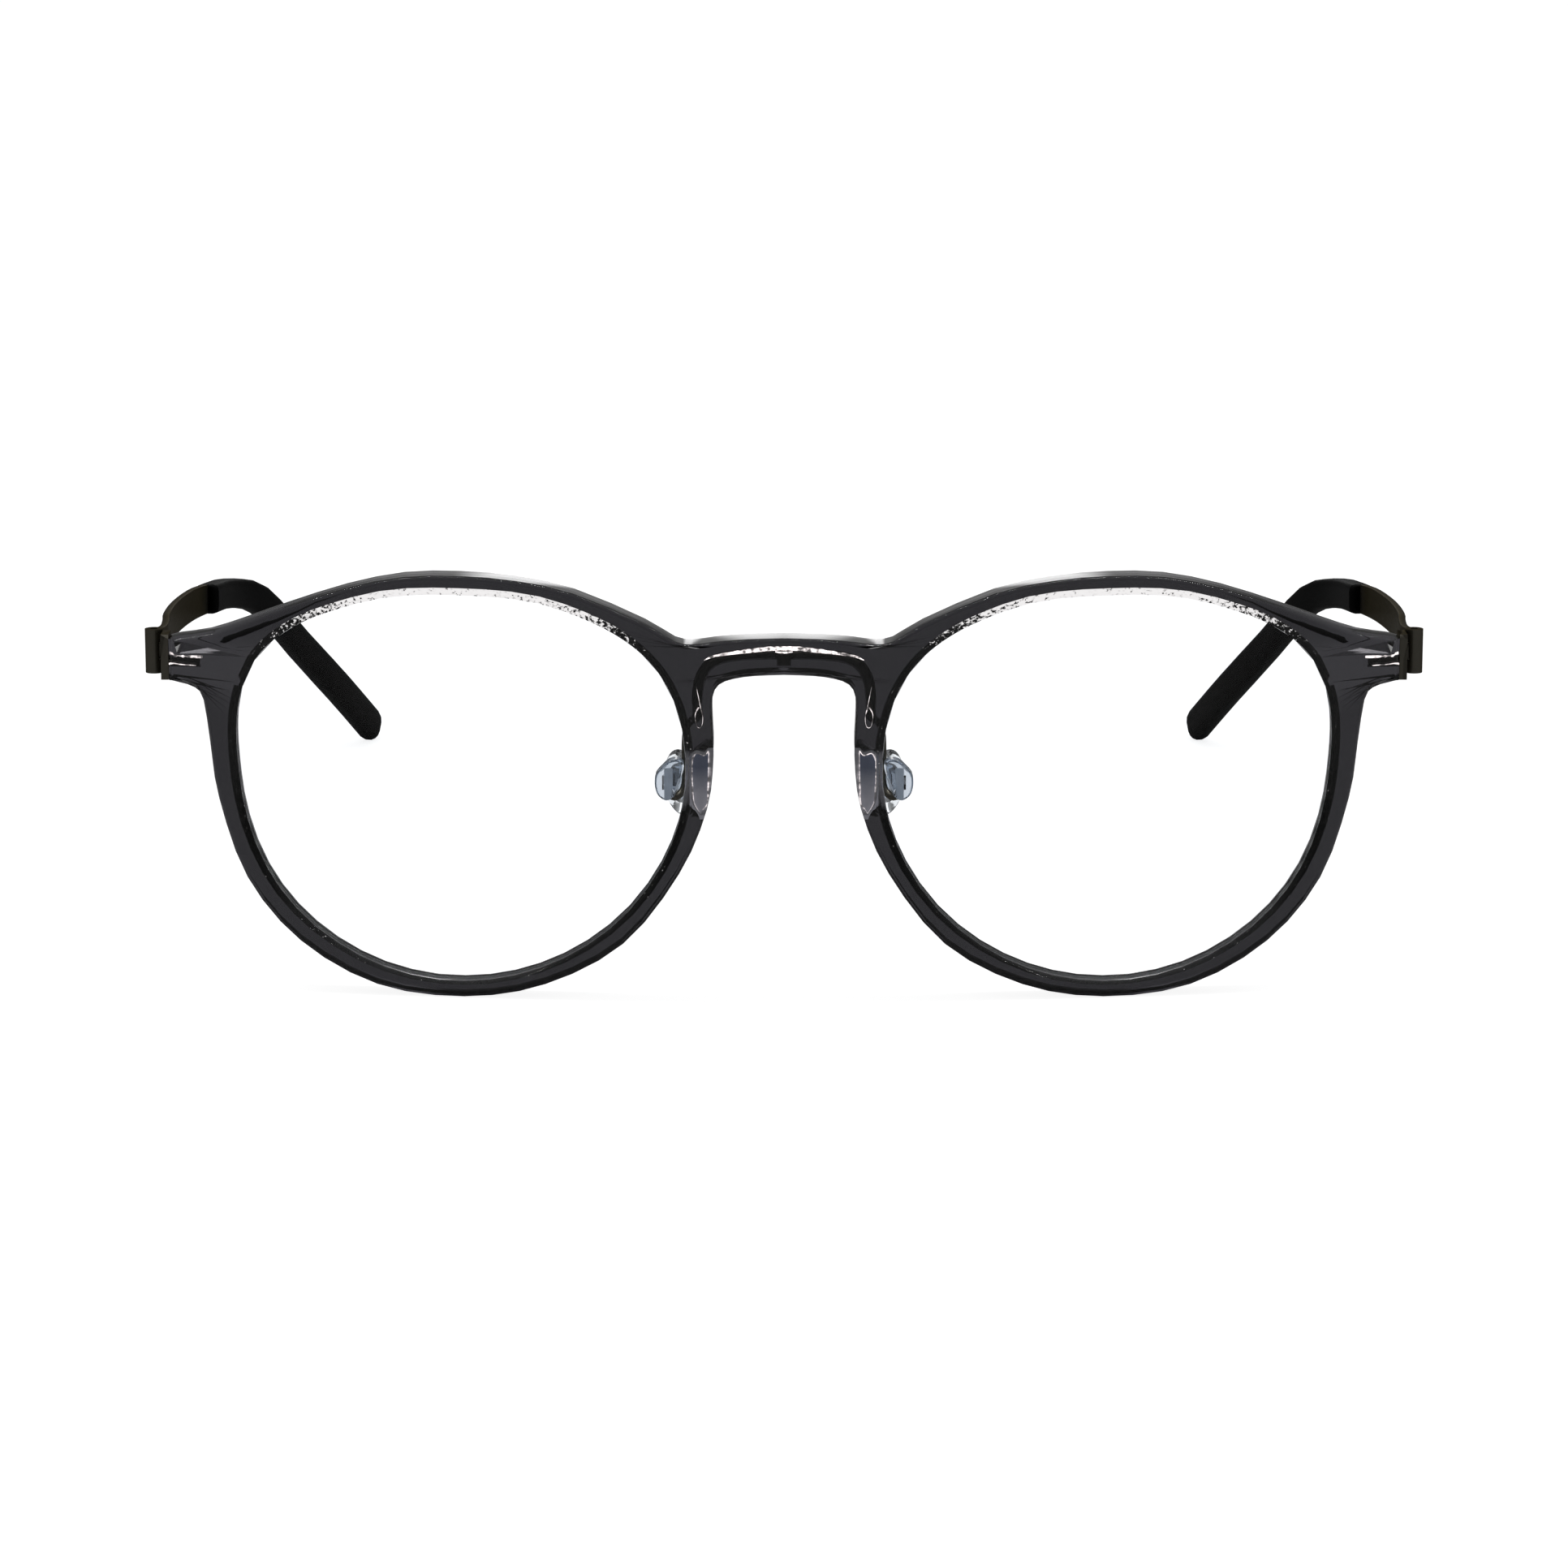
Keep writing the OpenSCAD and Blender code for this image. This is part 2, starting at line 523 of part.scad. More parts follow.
// Places a nose pad piece: its local Z points at the nose, its local Y is up
pad_at = [11.8, 10.65];
pad_z = 22.5;
module on_pad() {
    translate(concat(pad_at, pad_z))
        rotate([0, 0, pad_turn]) rotate([-90, 0, 0]) rotate([0, 0, 180]) children();
}
plate_t = 0.5;
plate_in = 0.35;
// Silicone pad, crowned towards the nose, moulded over the plate of its core
module nose_pad() {
    color("#d9dde0") place() difference() {
        on_pad() difference() {
            hull() for (y = [-1, 1]) translate([0, y * (pad_h - pad_w) / 2])
                rotate_extrude($fn = 32) polygon([
                    [0, 0], [pad_w / 2 - 0.5, 0], [pad_w / 2, 0.4], [pad_w / 2 - 0.25, 0.75],
                    [pad_w / 4, pad_t - 0.1], [0, pad_t]]);
            translate([0, 0, plate_in]) cylinder(d = 0.66 * pad_w, h = plate_t, $fn = 32);
        }
        stem(seat_gap);
    }
}
// Web from the back of the boss to the plate, beside the pad arm
function on_plate(t, d) = pad_at + t * [cos(pad_turn), sin(pad_turn)]
    + d * [-sin(pad_turn), cos(pad_turn)];
module stem(grow) {
    translate([0, 0, cap_z - 1.3 - grow]) linear_extrude(stem_h + 2 * grow) polygon([
        on_plate(0.1 - grow, plate_in + 0.1), on_plate(1.3 + grow, plate_in + 0.1),
        arm_at + [0.8 + grow, 0.5], arm_at + [-0.2 - grow, 0.5]]);
}
stem_h = 1.6;
boss_t = 1.6;
bore_r = core_d / 2 / cos(22.5) + run_gap;
// Egg-shaped outline of the boss, as shares of its width and height
egg = [[-0.5, 0.33], [-0.43, 0.435], [-0.25, 0.5], [0.02, 0.455], [0.24, 0.315], [0.45, 0.15],
       [0.5, -0.06], [0.465, -0.25], [0.36, -0.4], [0.13, -0.5], [-0.06, -0.46],
       [-0.2, -0.345], [-0.33, -0.12], [-0.45, 0.165]];
egg_n = len(egg);
// Hard core of a pad: a plate inside the silicone, a web, and the boss that takes the arm.
// The arm's hook comes in through a slot at the boss's back.
module pad_core() {
    color("#c4ccd6") place() difference() {
        union() {
            on_pad() translate([0, 0, plate_in + seat_gap])
                cylinder(d = 0.66 * pad_w - 2 * seat_gap, h = plate_t - 2 * seat_gap, $fn = 32);
            stem(0);
            translate([arm_at[0] - 0.1, arm_at[1] + boss_t / 2, cap_z])
                rotate([90, 0, 0]) linear_extrude(boss_t) polygon([
                    for (i = [0:egg_n - 1]) for (j = [0, 1])
                        let (p = cubic(egg[(i + egg_n - 1) % egg_n], egg[i], egg[(i + 1) % egg_n],
                                       egg[(i + 2) % egg_n], j / 2))
                        [p[0] * boss_w, p[1] * boss_h]]);
        }
        translate(concat(arm_at, cap_z - boss_h))
            cylinder(r = bore_r, h = boss_h + wire_top + 0.15 - cap_z, $fn = 32);
        translate(concat(arm_at, cap_z - boss_h)) rotate([0, 0, 136])
            translate([0, -bore_r - 0.15, 0]) cube([3, 2 * bore_r + 0.3, boss_h - 0.9]);
    }
}

// Whole depth of the glasses, so that the middle of their footprint is the origin
tip_back = max([for (s = sleeve_sections) for (p = s) p[1]]);
module place() {
    translate([0, -tip_back / 2, 0]) children();
}
module left() {
    children();
}
module right() {
    mirror([1, 0, 0]) children();
}

front();
bridge_core();
color("#dfe8ee") place() lens();  // lens_left
right() color("#dfe8ee") place() lens();  // lens_right
left() hinge_leaf();  // hinge_leaf_left
right() hinge_leaf();  // hinge_leaf_right
left() hinge_pin();  // hinge_pin_left
right() hinge_pin();  // hinge_pin_right
left() hinge_washers();  // hinge_washers_left
right() hinge_washers();  // hinge_washers_right
left() temple_blade();  // temple_blade_left
right() temple_blade();  // temple_blade_right
left() temple_sleeve();  // temple_sleeve_left
right() temple_sleeve();  // temple_sleeve_right
left() nose_pad();  // nose_pad_left
right() nose_pad();  // nose_pad_right
left() pad_core();  // pad_core_left
right() pad_core();  // pad_core_right
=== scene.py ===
import math

import bmesh
import bpy
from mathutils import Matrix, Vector

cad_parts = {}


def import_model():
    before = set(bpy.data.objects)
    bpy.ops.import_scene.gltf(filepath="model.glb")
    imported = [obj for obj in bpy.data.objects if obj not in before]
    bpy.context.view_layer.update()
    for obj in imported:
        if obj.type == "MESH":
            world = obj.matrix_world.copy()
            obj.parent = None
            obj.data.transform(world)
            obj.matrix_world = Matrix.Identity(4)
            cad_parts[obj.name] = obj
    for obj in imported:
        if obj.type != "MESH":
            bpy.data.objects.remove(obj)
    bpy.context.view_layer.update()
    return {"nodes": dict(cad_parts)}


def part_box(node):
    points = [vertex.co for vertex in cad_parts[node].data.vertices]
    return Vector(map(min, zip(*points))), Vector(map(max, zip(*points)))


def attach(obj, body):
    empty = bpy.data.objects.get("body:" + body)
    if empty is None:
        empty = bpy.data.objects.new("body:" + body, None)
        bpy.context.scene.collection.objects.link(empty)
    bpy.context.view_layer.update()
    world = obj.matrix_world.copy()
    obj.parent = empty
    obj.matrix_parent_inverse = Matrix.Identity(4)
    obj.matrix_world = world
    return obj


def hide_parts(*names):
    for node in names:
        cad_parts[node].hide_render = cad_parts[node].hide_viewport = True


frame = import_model()

MM = 0.001
NODES = frame["nodes"]
# The wearer's left is at +x
SIDES = {"left": 1, "right": -1}
# The front's foremost point, in the middle of the bridge
FACE_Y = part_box("front")[0].y


# Materials
# The scale of a pattern is how many of its marks, waves or clouds come to a millimetre

def colour(hex_code):
    """Linear colour of an sRGB hex value."""
    parts = [int(hex_code[i:i + 2], 16) / 255 for i in (1, 3, 5)]
    return tuple(p / 12.92 if p <= 0.04045 else ((p + 0.055) / 1.055) ** 2.4 for p in parts) + (1,)


def add(tree, kind, sockets=None, **settings):
    """Adds a node to a tree. Settings name its options or its sockets. Sockets, by name or
    number, take a value, another node's output, or a node, which stands for its first output."""
    node = tree.nodes.new(kind)
    for key, value in settings.items():
        if hasattr(node, key):
            setattr(node, key, value)
        else:
            node.inputs[key.replace("_", " ")].default_value = value
    for key, value in (sockets or {}).items():
        if isinstance(value, bpy.types.Node):
            value = value.outputs[0]
        if isinstance(value, bpy.types.NodeSocket):
            tree.links.new(value, node.inputs[key])
        else:
            node.inputs[key].default_value = value
    return node


def new_material(name):
    """A material with an empty node tree, and its Object coordinates."""
    material = bpy.data.materials.new(name)
    material.use_nodes = True
    tree = material.node_tree
    tree.nodes.clear()
    return material, tree, add(tree, "ShaderNodeTexCoord").outputs["Object"]


def matte_painted_glow(tree, tone, strength):
    """A matte spot of a clear plastic with a painted glow: its emission stands in for the light that runs
    inside the plastic and comes out there.
    """
    matte = add(tree, "ShaderNodeBsdfDiffuse", {"Color": tone})
    glow = add(tree, "ShaderNodeEmission", {"Color": tone}, Strength=strength)
    return add(tree, "ShaderNodeAddShader", {0: matte, 1: glow})


# The smoke-grey polyamide's tint where light enters and leaves, and its dye, which takes all
# but a twentieth of the light in 4 mm
SMOKE_TINT = colour("#b4b3b6")
SMOKE_DYE = colour("#807f86")
SMOKE_DENSITY = 1000.0
SMOKE_IOR = 1.52

# A Mix node takes two colours in sockets 6 and 7 and gives their blend as output 2
FIRST, SECOND, BLEND = 6, 7, 2


def smoke_plastic():
    # Smoke-grey transparent polyamide, injection moulded and polished: near black where it is
    # 4 mm thick, greyer where it is thin, with a sharp gloss and the faint waviness of a mould
    material, tree, place = new_material("moulded_smoke_polyamide")
    # Flow waves about 8 mm long
    waves = add(tree, "ShaderNodeTexNoise", {"Vector": place}, Scale=0.12 / MM, Detail=1.0)
    rough = add(tree, "ShaderNodeMapRange", {"Value": waves}, To_Min=0.01, To_Max=0.04)
    bump = add(tree, "ShaderNodeBump", {"Height": waves}, Strength=0.04, Distance=0.2 * MM)
    shader = add(tree, "ShaderNodeBsdfPrincipled", {"Roughness": rough, "Normal": bump},
                 Base_Color=SMOKE_TINT, IOR=SMOKE_IOR, Transmission_Weight=1.0)
    dye = add(tree, "ShaderNodeVolumeAbsorption", Color=SMOKE_DYE, Density=SMOKE_DENSITY)
    add(tree, "ShaderNodeOutputMaterial", {"Surface": shader, "Volume": dye})
    return material


def turned_edge():
    # The same polyamide where the lens opening is cut with a tool: satin, and along the top painted
    # light: fine white dots that glow, more of them higher up, where the band catches light
    material, tree, place = new_material("turned_smoke_polyamide")
    # Tool marks about 0.7 mm apart
    marks = add(tree, "ShaderNodeTexNoise", {"Vector": place}, Scale=1.4 / MM, Detail=3.0, Roughness=0.7)
    rough = add(tree, "ShaderNodeMapRange", {"Value": marks}, To_Min=0.03, To_Max=0.16)
    bump = add(tree, "ShaderNodeBump", {"Height": marks}, Strength=0.2, Distance=0.3 * MM)
    clear = add(tree, "ShaderNodeBsdfPrincipled", {"Roughness": rough, "Normal": bump},
                Base_Color=SMOKE_TINT, IOR=SMOKE_IOR, Transmission_Weight=1.0)
    # Painted light: white dots that glow, standing in for the light that the top of the band catches
    frosted = matte_painted_glow(tree, colour("#f6f4f4"), 0.8)
    # Painted light: dots about 0.4 mm apart, from none at 38 mm above the table to nearly all white at 45.5
    # mm
    dots = add(tree, "ShaderNodeTexNoise", {"Vector": place}, Scale=2.6 / MM, Detail=2.0, Roughness=0.7)
    height = add(tree, "ShaderNodeSeparateXYZ", {"Vector": place}).outputs["Z"]
    share = add(tree, "ShaderNodeMapRange", {"Value": height}, From_Min=38 * MM, From_Max=45.5 * MM,
                To_Min=-0.36, To_Max=0.06)
    level = add(tree, "ShaderNodeMath", {0: dots, 1: share}, operation="ADD")
    painted_dot_share = add(tree, "ShaderNodeMapRange", {"Value": level}, From_Min=0.36, From_Max=0.46,
                To_Min=0.0, To_Max=0.95)
    both = add(tree, "ShaderNodeMixShader", {0: painted_dot_share, 1: clear, 2: frosted})
    dye = add(tree, "ShaderNodeVolumeAbsorption", Color=SMOKE_DYE, Density=SMOKE_DENSITY)
    add(tree, "ShaderNodeOutputMaterial", {"Surface": both, "Volume": dye})
    return material


def milled_wall():
    # The same polyamide on the walls of the hollow beside the nose, which is milled from behind:
    # painted light, pale and faintly glowing, so through the front the hollow has a pale outline
    material, tree, place = new_material("milled_wall_painted_glow")
    # Cutter marks about 0.7 mm apart
    marks = add(tree, "ShaderNodeTexNoise", {"Vector": place}, Scale=1.5 / MM, Detail=2.0)
    tones = {"Factor": marks, FIRST: colour("#b9bcc4"), SECOND: colour("#f4f4f6")}
    tone = add(tree, "ShaderNodeMix", tones, data_type="RGBA").outputs[BLEND]
    add(tree, "ShaderNodeOutputMaterial", {"Surface": matte_painted_glow(tree, tone, 0.25)})
    return material


def milled_floor():
    # The floor of that hollow, left matte by the end of the cutter, with painted light: a glowing,
    # even blue-grey through the thin front wall, painted paler downwards, where more light runs in the
    # plastic
    material, tree, place = new_material("milled_floor_painted_glow")
    # Swirls about 1 mm across
    swirls = add(tree, "ShaderNodeTexNoise", {"Vector": place}, Scale=0.9 / MM, Detail=2.0)
    height = add(tree, "ShaderNodeSeparateXYZ", {"Vector": place}).outputs["Z"]
    painted_paler_downwards = add(tree, "ShaderNodeMapRange", {"Value": height}, From_Min=27 * MM, From_Max=22 * MM,
                To_Min=-0.15, To_Max=0.85)
    share = add(tree, "ShaderNodeMath", {0: painted_paler_downwards, 1: swirls, 2: painted_paler_downwards}, operation="MULTIPLY_ADD")
    tones = {"Factor": share, FIRST: colour("#6c7486"), SECOND: colour("#c4c5cc")}
    tone = add(tree, "ShaderNodeMix", tones, data_type="RGBA").outputs[BLEND]
    inside = matte_painted_glow(tree, tone, 0.8)
    # Seen from the air behind it, the same floor is a dark satin
    outside = add(tree, "ShaderNodeBsdfPrincipled", Base_Color=colour("#2b2b2f"), Roughness=0.4,
                  IOR=SMOKE_IOR)
    within = add(tree, "ShaderNodeNewGeometry").outputs["Backfacing"]
    both = add(tree, "ShaderNodeMixShader", {0: within, 1: outside, 2: inside})
    add(tree, "ShaderNodeOutputMaterial", {"Surface": both})
    return material


def dark_titanium():
    # Titanium sheet with a brown-black vapour coating: satin, dark face on, paler at a low angle,
    # with the fine lengthways scratches of the rolled sheet under the coating
    material, tree, place = new_material("coated_titanium_sheet")
    # Grain lines about 0.3 mm apart and eight times as long, and clouds 6 mm across
    stretched = add(tree, "ShaderNodeMapping", {"Vector": place}, Scale=(1.0, 0.12, 1.0))
    grain = add(tree, "ShaderNodeTexNoise", {"Vector": stretched}, Scale=3.3 / MM, Detail=3.0)
    clouds = add(tree, "ShaderNodeTexNoise", {"Vector": place}, Scale=0.16 / MM, Detail=2.0)
    tones = {"Factor": clouds, FIRST: colour("#625f56"), SECOND: colour("#6e6b62")}
    tone = add(tree, "ShaderNodeMix", tones, data_type="RGBA").outputs[BLEND]
    rough = add(tree, "ShaderNodeMapRange", {"Value": grain}, To_Min=0.3, To_Max=0.46)
    bump = add(tree, "ShaderNodeBump", {"Height": grain}, Strength=0.12, Distance=0.1 * MM)
    shader = add(tree, "ShaderNodeBsdfPrincipled", {"Base Color": tone, "Roughness": rough, "Normal": bump},
                 Metallic=1.0, Specular_Tint=colour("#8a867e"))
    add(tree, "ShaderNodeOutputMaterial", {"Surface": shader})
    return material


def lens_polymer():
    # Cast lens polymer with an anti-reflection coating: clear, with a weak cool reflection. Its
    # IOR is set low, because the coating takes most of the reflection away
    material, tree, place = new_material("coated_lens_polymer")
    # Polishing haze about 8 mm across, far weaker than the eye sorts out
    haze = add(tree, "ShaderNodeTexNoise", {"Vector": place}, Scale=0.12 / MM, Detail=1.0)
    rough = add(tree, "ShaderNodeMapRange", {"Value": haze}, To_Min=0.0, To_Max=0.01)
    shader = add(tree, "ShaderNodeBsdfPrincipled", {"Roughness": rough}, Base_Color=colour("#fbfcfd"),
                 IOR=1.2, Transmission_Weight=1.0)
    add(tree, "ShaderNodeOutputMaterial", {"Surface": shader})
    return material


def sleeve_rubber():
    # Rubber, compression moulded in a blasted mould: deep matte black with a soft, wide sheen
    # and a fine even texture
    material, tree, place = new_material("moulded_black_rubber")
    # Blasted texture, drawn at 0.25 mm so that it shows as uneven sheen, and clouds 9 mm across
    grit = add(tree, "ShaderNodeTexNoise", {"Vector": place}, Scale=4 / MM, Detail=2.0)
    clouds = add(tree, "ShaderNodeTexNoise", {"Vector": place}, Scale=0.11 / MM, Detail=2.0)
    tones = {"Factor": clouds, FIRST: colour("#060606"), SECOND: colour("#09090a")}
    tone = add(tree, "ShaderNodeMix", tones, data_type="RGBA").outputs[BLEND]
    rough = add(tree, "ShaderNodeMapRange", {"Value": grit}, To_Min=0.5, To_Max=0.62)
    shader = add(tree, "ShaderNodeBsdfPrincipled", {"Base Color": tone, "Roughness": rough},
                 Specular_IOR_Level=0.08, IOR=1.45)
    add(tree, "ShaderNodeOutputMaterial", {"Surface": shader})
    return material


def clear_silicone():
    # Clear silicone, moulded: water-clear and soft, with a slight haze in the surface
    material, tree, place = new_material("moulded_clear_silicone")
    # Haze about 1 mm across
    haze = add(tree, "ShaderNodeTexNoise", {"Vector": place}, Scale=0.9 / MM, Detail=2.0)
    rough = add(tree, "ShaderNodeMapRange", {"Value": haze}, To_Min=0.04, To_Max=0.14)
    bump = add(tree, "ShaderNodeBump", {"Height": haze}, Strength=0.06, Distance=0.2 * MM)
    shader = add(tree, "ShaderNodeBsdfPrincipled", {"Roughness": rough, "Normal": bump},
                 Base_Color=colour("#eef1f4"), IOR=1.41, Transmission_Weight=1.0)
    add(tree, "ShaderNodeOutputMaterial", {"Surface": shader})
    return material


def clear_polycarbonate():
    # Polycarbonate, moulded and glossy, with the slight blue of its dye
    material, tree, place = new_material("moulded_clear_polycarbonate")
    # Flow lines about 2 mm apart
    flow = add(tree, "ShaderNodeTexNoise", {"Vector": place}, Scale=0.5 / MM, Detail=1.0)
    rough = add(tree, "ShaderNodeMapRange", {"Value": flow}, To_Min=0.01, To_Max=0.05)
    shader = add(tree, "ShaderNodeBsdfPrincipled", {"Roughness": rough}, Base_Color=colour("#c6cdd6"),
                 IOR=1.58, Transmission_Weight=1.0)
    add(tree, "ShaderNodeOutputMaterial", {"Surface": shader})
    return material


def cored_polycarbonate_painted_glow():
    # The same polycarbonate in the bore and slot that a core pin leaves: matte, with a painted glow
    # for the light that runs in the clear plastic and comes out there, so the inside is an even blue-grey
    material, tree, place = new_material("cored_polycarbonate_painted_glow")
    # Grain about 1 mm across
    grain = add(tree, "ShaderNodeTexNoise", {"Vector": place}, Scale=0.9 / MM, Detail=2.0)
    tones = {"Factor": grain, FIRST: colour("#7d858f"), SECOND: colour("#9ba3ad")}
    tone = add(tree, "ShaderNodeMix", tones, data_type="RGBA").outputs[BLEND]
    add(tree, "ShaderNodeOutputMaterial", {"Surface": matte_painted_glow(tree, tone, 0.6)})
    return material


def washer_nylon():
    # Natural nylon, stamped from sheet: warm white, waxy and a little uneven
    material, tree, place = new_material("stamped_natural_nylon")
    # Clouds about 0.5 mm across
    clouds = add(tree, "ShaderNodeTexNoise", {"Vector": place}, Scale=2 / MM, Detail=2.0)
    tones = {"Factor": clouds, FIRST: colour("#cfcabb"), SECOND: colour("#dcd8cc")}
    tone = add(tree, "ShaderNodeMix", tones, data_type="RGBA").outputs[BLEND]
    rough = add(tree, "ShaderNodeMapRange", {"Value": clouds}, To_Min=0.4, To_Max=0.55)
    shader = add(tree, "ShaderNodeBsdfPrincipled", {"Base Color": tone, "Roughness": rough}, IOR=1.53)
    add(tree, "ShaderNodeOutputMaterial", {"Surface": shader})
    return material


def ground_edge():
    # The lens's edge, ground to a bevel with a diamond wheel: frosted, and white because it
    # gathers the light that runs through the lens
    material, tree, place = new_material("diamond_ground_lens_edge")
    # The wheel's grit, drawn at 0.4 mm so that it shows
    grit = add(tree, "ShaderNodeTexNoise", {"Vector": place}, Scale=2.5 / MM, Detail=2.0)
    tones = {"Factor": grit, FIRST: colour("#dfe3e6"), SECOND: colour("#ffffff")}
    tone = add(tree, "ShaderNodeMix", tones, data_type="RGBA").outputs[BLEND]
    through = add(tree, "ShaderNodeBsdfTranslucent", {"Color": tone})
    back = add(tree, "ShaderNodeBsdfDiffuse", {"Color": tone})
    both = add(tree, "ShaderNodeMixShader", {1: through, 2: back}, Fac=0.4)
    add(tree, "ShaderNodeOutputMaterial", {"Surface": both})
    return material


def air_film_glint():
    # Air between metal and moulded plastic, drawn as a painted highlight: a bright, uneven silver
    # line that glows, with breaks about 0.6 mm apart where the plastic touches
    material, tree, place = new_material("air_film_painted_glint")
    breaks = add(tree, "ShaderNodeTexNoise", {"Vector": place}, Scale=1.8 / MM, Detail=2.0)
    painted_shine = add(tree, "ShaderNodeMapRange", {"Value": breaks}, From_Min=0.38, From_Max=0.62,
                To_Min=0.2, To_Max=3.6)
    rough = add(tree, "ShaderNodeMapRange", {"Value": breaks}, To_Min=0.15, To_Max=0.5)
    bump = add(tree, "ShaderNodeBump", {"Height": breaks}, Strength=0.6, Distance=0.2 * MM)
    shader = add(tree, "ShaderNodeBsdfPrincipled",
                 {"Emission Strength": painted_shine, "Roughness": rough, "Normal": bump},
                 Metallic=0.6, Base_Color=colour("#fbf6f3"), Emission_Color=colour("#fff6f2"))
    add(tree, "ShaderNodeOutputMaterial", {"Surface": shader})
    return material


SMOKE = smoke_plastic()
TURNED = turned_edge()
MILLED_WALL = milled_wall()
MILLED_FLOOR = milled_floor()
TITANIUM = dark_titanium()
LENS = lens_polymer()
RUBBER = sleeve_rubber()
SILICONE = clear_silicone()
CARBONATE = clear_polycarbonate()
CORED = cored_polycarbonate_painted_glow()
NYLON = washer_nylon()
GROUND = ground_edge()
AIR_GLINT = air_film_glint()


# Pieces

def linked(name, data):
    """A new object in the scene, at the origin."""
    piece = bpy.data.objects.new(name, data)
    bpy.context.scene.collection.objects.link(piece)
    return piece


def finished(bm, name, material, sharp=35):
    """Makes an object of a bmesh, smooth except across edges sharper than the given angle. Large
    faces carry the shading, so slivers beside a cut leave no streaks."""
    mesh = bpy.data.meshes.new(name)
    bm.to_mesh(mesh)
    bm.free()
    mesh.materials.append(material)
    mesh.shade_smooth()
    mesh.set_sharp_from_angle(angle=math.radians(sharp))
    piece = linked(name, mesh)
    even = piece.modifiers.new("even_shading", "WEIGHTED_NORMAL")
    even.keep_sharp = True
    return piece


def merged(node):
    """A bmesh copy of a CAD node with its loose triangles joined."""
    bm = bmesh.new()
    bm.from_mesh(NODES[node].data)
    bmesh.ops.remove_doubles(bm, verts=bm.verts, dist=0.002 * MM)
    bmesh.ops.dissolve_degenerate(bm, edges=bm.edges, dist=0.001 * MM)
    return bm


def stands_for(piece, node, body):
    """Puts a piece in the place of a CAD node, on its body."""
    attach(piece, body)
    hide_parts(node)


def lens_centre(side):
    low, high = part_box("lens_" + side)
    return (low + high) / 2


# Radius that the front is bent to, and the cosine of how far one of its surfaces may point away
# from that bend and still belong to the even face, 2.4 degrees
BEND = 330 * MM
EVEN = 0.9991
# The turned band of a lens opening: how far from the lens's middle it reaches, how much it at
# least faces that middle, and how its normal lies along y, where -1 is straight forwards
TURNED_REACH = 27 * MM
TURNED_SLOPE = 0.3
TURNED_LEAN = (-0.95, -0.35)
# Spaces with the walls and the floor of the hollow beside the nose, in mm: from the middle
# sideways, up from the table, and back from the front's face
WALL_SPACE = ((8.1, 10.3), (20.8, 28.6), (1.05, 12))
FLOOR_SPACE = ((7.6, 10.3), (20.2, 28.6), (1.2, 1.5))
# A normal's part along y, below which a surface is a wall of the hollow and above which its floor
WALL_BELOW = 0.8
FLOOR_ABOVE = 0.9


def wrapped(x):
    """Direction that the bent front's face points to at x."""
    return Vector((x / BEND, -1, 0)).normalized()


def inside(spot, space):
    return all(low < value < high for value, (low, high) in zip(spot, space))


def front():
    """The moulded front. The band turned round each lens opening and the hollows milled beside
    the nose get their own surfaces, which carry painted light, and the face is shaded as the even curve that
    it is."""
    piece = finished(merged("front"), "moulded_front", SMOKE, 28)
    mesh = piece.data
    for material in (TURNED, MILLED_WALL, MILLED_FLOOR):
        mesh.materials.append(material)
    centres = [lens_centre(side) for side in SIDES]
    shaded = piece.evaluated_get(bpy.context.evaluated_depsgraph_get()).data
    normals = [corner.vector.copy() for corner in shaded.corner_normals]
    for face in mesh.polygons:
        centre = min(centres, key=lambda c: abs(c.x - face.center.x))
        inward = (centre - face.center).xz
        slope = inward.normalized().dot(face.normal.xz)
        leans = TURNED_LEAN[0] < face.normal.y < TURNED_LEAN[1]
        spot = (abs(face.center.x) / MM, face.center.z / MM, (face.center.y - FACE_Y) / MM)
        if inward.length < TURNED_REACH and slope > TURNED_SLOPE and leans:
            face.material_index = 1
        if inside(spot, WALL_SPACE) and face.normal.y < WALL_BELOW:
            face.material_index = 2
        if inside(spot, FLOOR_SPACE) and face.normal.y > FLOOR_ABOVE:
            face.material_index = 3
        if face.normal.dot(wrapped(face.center.x)) > EVEN:
            for corner in face.loop_indices:
                normals[corner] = wrapped(mesh.vertices[mesh.loops[corner].vertex_index].co.x)
    piece.modifiers.clear()
    mesh.normals_split_custom_set(normals)
    stands_for(piece, "front", "front_frame")


def lens(side):
    """A lens: its faces are clear, and the bevel ground round its edge is frosted."""
    piece = finished(merged("lens_" + side), "fitted_lens_" + side, LENS, 15)
    piece.data.materials.append(GROUND)
    # The bevel is what points neither forwards nor backwards
    for face in piece.data.polygons:
        if abs(face.normal.y) < 0.9:
            face.material_index = 1
    stands_for(piece, "lens_" + side, "front_frame")


def thread(name, rows, material=AIR_GLINT):
    """A fine thread just under the front's face. Each row is a point of it: x, the distance back
    from the front's foremost point, z and the thread's width there, all in mm."""
    curve = bpy.data.curves.new(name, "CURVE")
    curve.dimensions = "3D"
    # A radius of 1 mm, which each point multiplies by its own
    curve.bevel_depth = 1 * MM
    curve.bevel_resolution = 2
    curve.resolution_u = 6
    curve.use_fill_caps = True
    line = curve.splines.new("NURBS")
    line.points.add(len(rows) - 1)
    line.use_endpoint_u = True
    line.order_u = 3
    for point, (x, deep, z, width) in zip(line.points, rows):
        point.co = (x * MM, FACE_Y + deep * MM, z * MM, 1)
        point.radius = width / 2
    curve.materials.append(material)
    piece = linked(name, curve)
    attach(piece, "front_frame")
